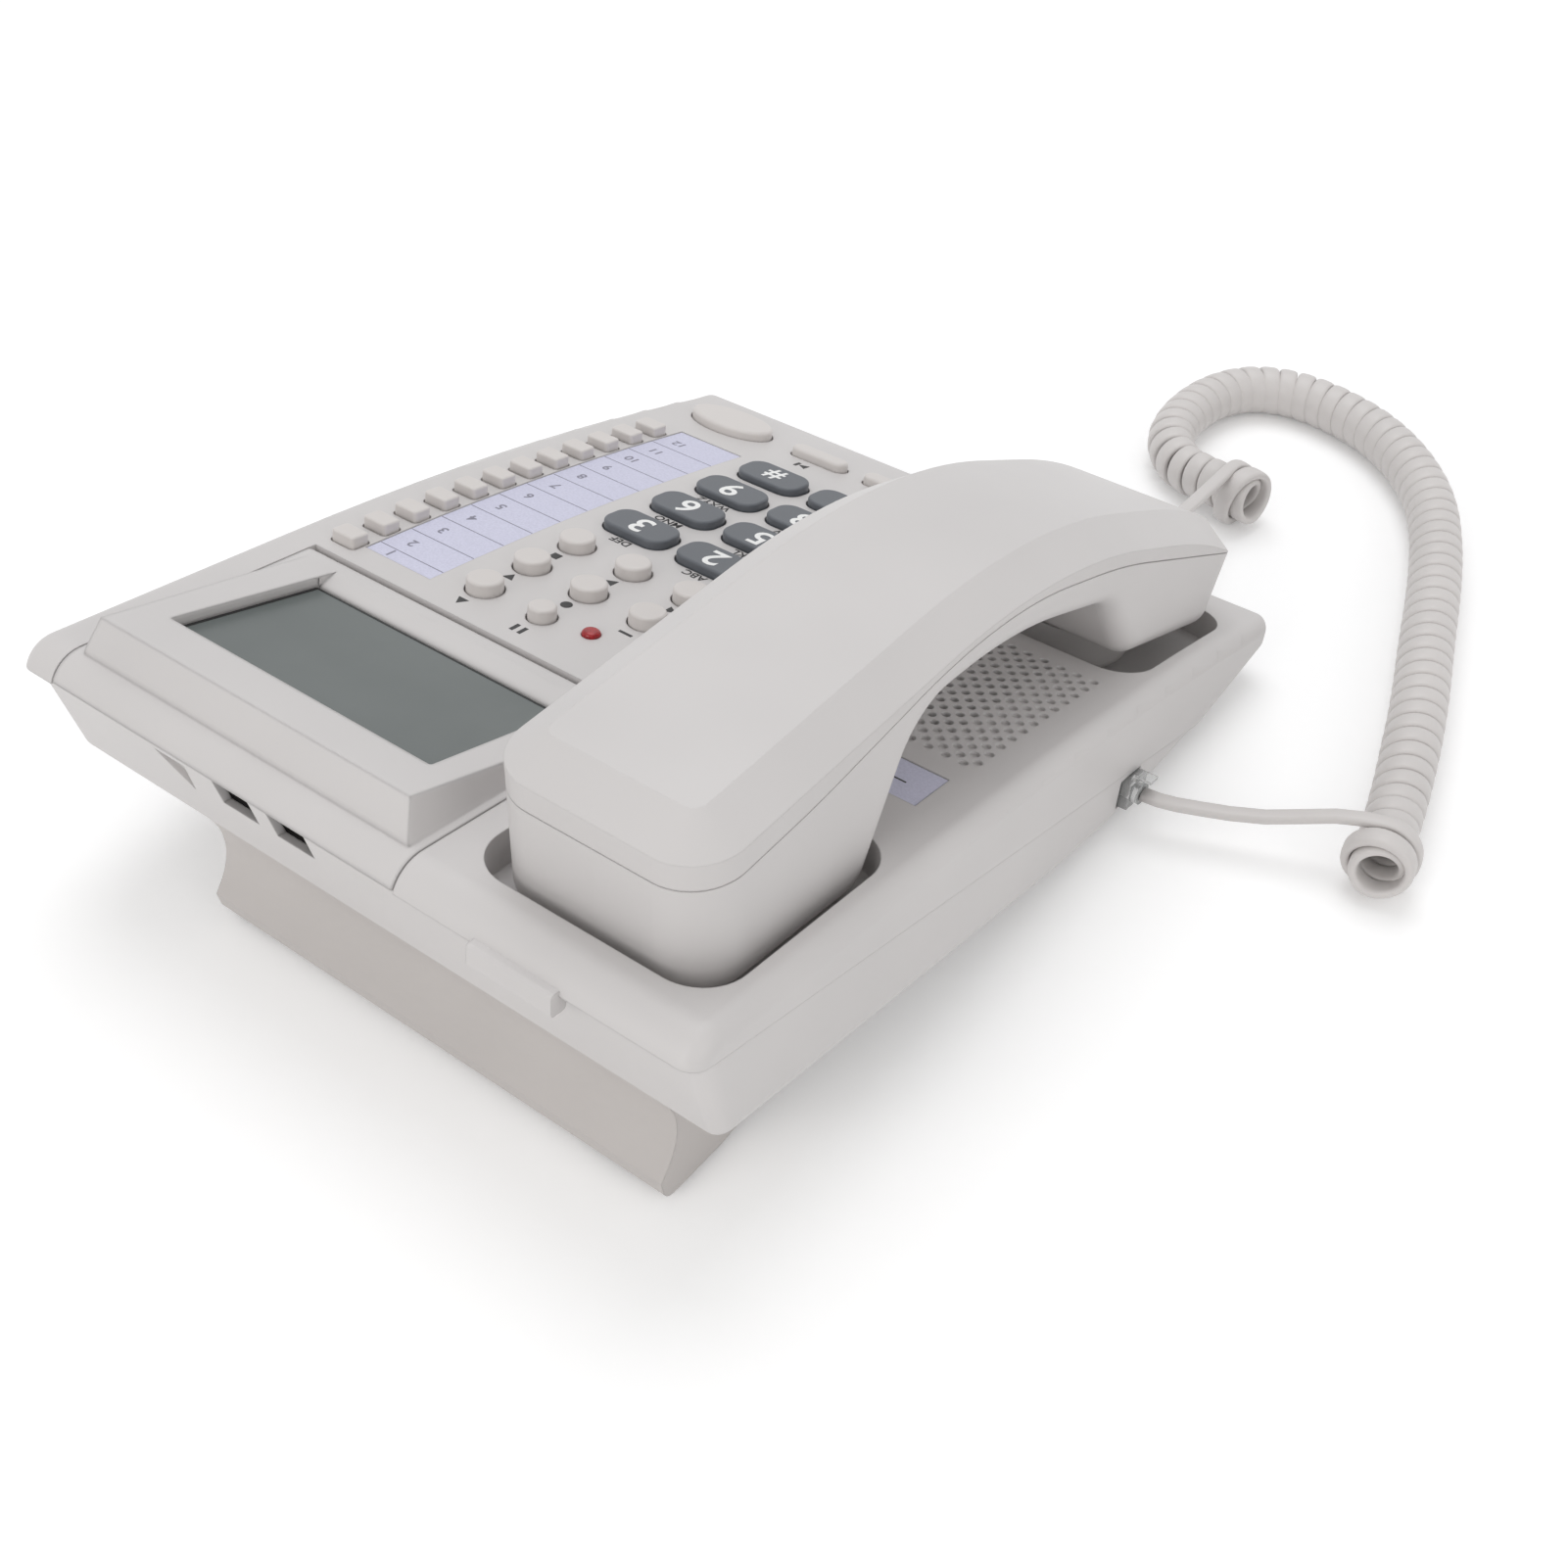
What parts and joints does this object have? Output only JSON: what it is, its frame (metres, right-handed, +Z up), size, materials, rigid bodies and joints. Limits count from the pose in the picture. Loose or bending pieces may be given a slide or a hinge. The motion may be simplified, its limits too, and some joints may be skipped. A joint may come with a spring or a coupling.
{
  "type": "corded desk telephone",
  "caption": "Corded desk telephone: wedge base with keypad, tilting display, loudspeaker grille, desk stand and a curly-cord handset resting in two wells.",
  "frame": {"origin": "centre of the footprint of the telephone without its cord, on the table it stands on", "axes": "+Z up, +Y towards the rear edge with the display, +X to the user's right"},
  "size_m": [0.2401, 0.3455, 0.0876],
  "materials": {
    "shell": "fine satin moulded grain",
    "dark_key": "satin",
    "pad": "matt",
    "cord": "soft satin",
    "clear": "clear",
    "paper": "paper",
    "screen": "reflective panel",
    "lamp": "translucent",
    "jack": "satin",
    "board": "satin",
    "capsule": "matt",
    "steel": "plated"
  },
  "bodies": {
    "base": {"top_case": "shell", "bottom_case": "shell", "stand": "shell", "rubber_feet": "pad", "case_screws": "steel", "main_board": "board", "key_mat": "pad", "loudspeaker": "capsule", "modular_jacks": "jack", "paper_labels": "paper", "ring_lamp": "lamp", "base_plug": "clear", "handset_cord": "cord"},
    "handset": {"handset_top": "shell", "handset_bottom": "shell", "receiver": "capsule", "microphone": "capsule", "handset_weight": "steel", "handset_screws": "steel", "handset_socket": "jack", "handset_plug": "clear"},
    "display": {"display_housing": "shell", "display_back": "shell", "lcd_panel": "screen"},
    "hook": {"hook_plunger": "jack"},
    "key_one_cap": {"key_one": "dark_key"},
    "key_two_cap": {"key_two": "dark_key"},
    "key_three_cap": {"key_three": "dark_key"},
    "key_four_cap": {"key_four": "dark_key"},
    "key_five_cap": {"key_five": "dark_key"},
    "key_six_cap": {"key_six": "dark_key"},
    "key_seven_cap": {"key_seven": "dark_key"},
    "key_eight_cap": {"key_eight": "dark_key"},
    "key_nine_cap": {"key_nine": "dark_key"},
    "key_star_cap": {"key_star": "dark_key"},
    "key_zero_cap": {"key_zero": "dark_key"},
    "key_hash_cap": {"key_hash": "dark_key"},
    "oval_key_cap": {"oval_key": "shell"},
    "pill_key_right_cap": {"pill_key_right": "shell"},
    "pill_key_left_cap": {"pill_key_left": "shell"},
    "function_key_11_cap": {"function_key_11": "shell"},
    "function_key_12_cap": {"function_key_12": "shell"},
    "function_key_13_cap": {"function_key_13": "shell"},
    "function_key_21_cap": {"function_key_21": "shell"},
    "function_key_22_cap": {"function_key_22": "shell"},
    "function_key_23_cap": {"function_key_23": "shell"},
    "function_key_32_cap": {"function_key_32": "shell"},
    "function_key_33_cap": {"function_key_33": "shell"},
    "memory_key_1_cap": {"memory_key_1": "shell"},
    "memory_key_2_cap": {"memory_key_2": "shell"},
    "memory_key_3_cap": {"memory_key_3": "shell"},
    "memory_key_4_cap": {"memory_key_4": "shell"},
    "memory_key_5_cap": {"memory_key_5": "shell"},
    "memory_key_6_cap": {"memory_key_6": "shell"},
    "memory_key_7_cap": {"memory_key_7": "shell"},
    "memory_key_8_cap": {"memory_key_8": "shell"},
    "memory_key_9_cap": {"memory_key_9": "shell"},
    "memory_key_10_cap": {"memory_key_10": "shell"},
    "memory_key_11_cap": {"memory_key_11": "shell"},
    "memory_key_12_cap": {"memory_key_12": "shell"}
  },
  "joints": [
    {"name": "handset_lift", "type": "slide", "parent": "base", "child": "handset", "axis": [0, 0, 1], "range_m": [0, 0.06]},
    {"name": "display_tilt", "type": "hinge", "parent": "base", "child": "display", "pos_m": [0.02925, 0.04308, 0.04854], "axis": [1, 0, 0], "range_deg": [0, 45]},
    {"name": "hook_switch", "type": "slide", "parent": "base", "child": "hook", "axis": [0, -0.1444, 0.9895], "range_m": [0, 0.004]},
    {"name": "key_one_press", "type": "slide", "parent": "base", "child": "key_one_cap", "axis": [0, 0.2052, -0.9787], "range_m": [0, 0.0012], "stiffness_N_per_m": 250},
    {"name": "key_two_press", "type": "slide", "parent": "base", "child": "key_two_cap", "axis": [0, 0.2052, -0.9787], "range_m": [0, 0.0012], "stiffness_N_per_m": 250},
    {"name": "key_three_press", "type": "slide", "parent": "base", "child": "key_three_cap", "axis": [0, 0.2052, -0.9787], "range_m": [0, 0.0012], "stiffness_N_per_m": 250},
    {"name": "key_four_press", "type": "slide", "parent": "base", "child": "key_four_cap", "axis": [0, 0.2052, -0.9787], "range_m": [0, 0.0012], "stiffness_N_per_m": 250},
    {"name": "key_five_press", "type": "slide", "parent": "base", "child": "key_five_cap", "axis": [0, 0.2052, -0.9787], "range_m": [0, 0.0012], "stiffness_N_per_m": 250},
    {"name": "key_six_press", "type": "slide", "parent": "base", "child": "key_six_cap", "axis": [0, 0.2052, -0.9787], "range_m": [0, 0.0012], "stiffness_N_per_m": 250},
    {"name": "key_seven_press", "type": "slide", "parent": "base", "child": "key_seven_cap", "axis": [0, 0.2052, -0.9787], "range_m": [0, 0.0012], "stiffness_N_per_m": 250},
    {"name": "key_eight_press", "type": "slide", "parent": "base", "child": "key_eight_cap", "axis": [0, 0.2052, -0.9787], "range_m": [0, 0.0012], "stiffness_N_per_m": 250},
    {"name": "key_nine_press", "type": "slide", "parent": "base", "child": "key_nine_cap", "axis": [0, 0.2052, -0.9787], "range_m": [0, 0.0012], "stiffness_N_per_m": 250},
    {"name": "key_star_press", "type": "slide", "parent": "base", "child": "key_star_cap", "axis": [0, 0.2052, -0.9787], "range_m": [0, 0.0012], "stiffness_N_per_m": 250},
    {"name": "key_zero_press", "type": "slide", "parent": "base", "child": "key_zero_cap", "axis": [0, 0.2052, -0.9787], "range_m": [0, 0.0012], "stiffness_N_per_m": 250},
    {"name": "key_hash_press", "type": "slide", "parent": "base", "child": "key_hash_cap", "axis": [0, 0.2052, -0.9787], "range_m": [0, 0.0012], "stiffness_N_per_m": 250},
    {"name": "oval_key_press", "type": "slide", "parent": "base", "child": "oval_key_cap", "axis": [0, 0.2813, -0.9596], "range_m": [0, 0.0012], "stiffness_N_per_m": 250},
    {"name": "pill_key_right_press", "type": "slide", "parent": "base", "child": "pill_key_right_cap", "axis": [0, 0.2813, -0.9596], "range_m": [0, 0.0012], "stiffness_N_per_m": 250},
    {"name": "pill_key_left_press", "type": "slide", "parent": "base", "child": "pill_key_left_cap", "axis": [0, 0.2813, -0.9596], "range_m": [0, 0.0012], "stiffness_N_per_m": 250},
    {"name": "function_key_11_press", "type": "slide", "parent": "base", "child": "function_key_11_cap", "axis": [0, 0.2052, -0.9787], "range_m": [0, 0.0012], "stiffness_N_per_m": 250},
    {"name": "function_key_12_press", "type": "slide", "parent": "base", "child": "function_key_12_cap", "axis": [0, 0.2052, -0.9787], "range_m": [0, 0.0012], "stiffness_N_per_m": 250},
    {"name": "function_key_13_press", "type": "slide", "parent": "base", "child": "function_key_13_cap", "axis": [0, 0.2052, -0.9787], "range_m": [0, 0.0012], "stiffness_N_per_m": 250},
    {"name": "function_key_21_press", "type": "slide", "parent": "base", "child": "function_key_21_cap", "axis": [0, 0.2052, -0.9787], "range_m": [0, 0.0012], "stiffness_N_per_m": 250},
    {"name": "function_key_22_press", "type": "slide", "parent": "base", "child": "function_key_22_cap", "axis": [0, 0.2052, -0.9787], "range_m": [0, 0.0012], "stiffness_N_per_m": 250},
    {"name": "function_key_23_press", "type": "slide", "parent": "base", "child": "function_key_23_cap", "axis": [0, 0.2052, -0.9787], "range_m": [0, 0.0012], "stiffness_N_per_m": 250},
    {"name": "function_key_32_press", "type": "slide", "parent": "base", "child": "function_key_32_cap", "axis": [0, 0.2052, -0.9787], "range_m": [0, 0.0012], "stiffness_N_per_m": 250},
    {"name": "function_key_33_press", "type": "slide", "parent": "base", "child": "function_key_33_cap", "axis": [0, 0.2052, -0.9787], "range_m": [0, 0.0012], "stiffness_N_per_m": 250},
    {"name": "memory_key_1_press", "type": "slide", "parent": "base", "child": "memory_key_1_cap", "axis": [0, 0.2052, -0.9787], "range_m": [0, 0.0012], "stiffness_N_per_m": 250},
    {"name": "memory_key_2_press", "type": "slide", "parent": "base", "child": "memory_key_2_cap", "axis": [0, 0.2052, -0.9787], "range_m": [0, 0.0012], "stiffness_N_per_m": 250},
    {"name": "memory_key_3_press", "type": "slide", "parent": "base", "child": "memory_key_3_cap", "axis": [0, 0.2052, -0.9787], "range_m": [0, 0.0012], "stiffness_N_per_m": 250},
    {"name": "memory_key_4_press", "type": "slide", "parent": "base", "child": "memory_key_4_cap", "axis": [0, 0.2052, -0.9787], "range_m": [0, 0.0012], "stiffness_N_per_m": 250},
    {"name": "memory_key_5_press", "type": "slide", "parent": "base", "child": "memory_key_5_cap", "axis": [0, 0.2052, -0.9787], "range_m": [0, 0.0012], "stiffness_N_per_m": 250},
    {"name": "memory_key_6_press", "type": "slide", "parent": "base", "child": "memory_key_6_cap", "axis": [0, 0.2052, -0.9787], "range_m": [0, 0.0012], "stiffness_N_per_m": 250},
    {"name": "memory_key_7_press", "type": "slide", "parent": "base", "child": "memory_key_7_cap", "axis": [0, 0.2052, -0.9787], "range_m": [0, 0.0012], "stiffness_N_per_m": 250},
    {"name": "memory_key_8_press", "type": "slide", "parent": "base", "child": "memory_key_8_cap", "axis": [0, 0.2052, -0.9787], "range_m": [0, 0.0012], "stiffness_N_per_m": 250},
    {"name": "memory_key_9_press", "type": "slide", "parent": "base", "child": "memory_key_9_cap", "axis": [0, 0.2052, -0.9787], "range_m": [0, 0.0012], "stiffness_N_per_m": 250},
    {"name": "memory_key_10_press", "type": "slide", "parent": "base", "child": "memory_key_10_cap", "axis": [0, 0.2052, -0.9787], "range_m": [0, 0.0012], "stiffness_N_per_m": 250},
    {"name": "memory_key_11_press", "type": "slide", "parent": "base", "child": "memory_key_11_cap", "axis": [0, 0.2052, -0.9787], "range_m": [0, 0.0012], "stiffness_N_per_m": 250},
    {"name": "memory_key_12_press", "type": "slide", "parent": "base", "child": "memory_key_12_cap", "axis": [0, 0.2052, -0.9787], "range_m": [0, 0.0012], "stiffness_N_per_m": 250}
  ],
  "couplings": [
    {"joint": "hook_switch", "follows": "handset_lift", "ratio": 0.066667}
  ]
}
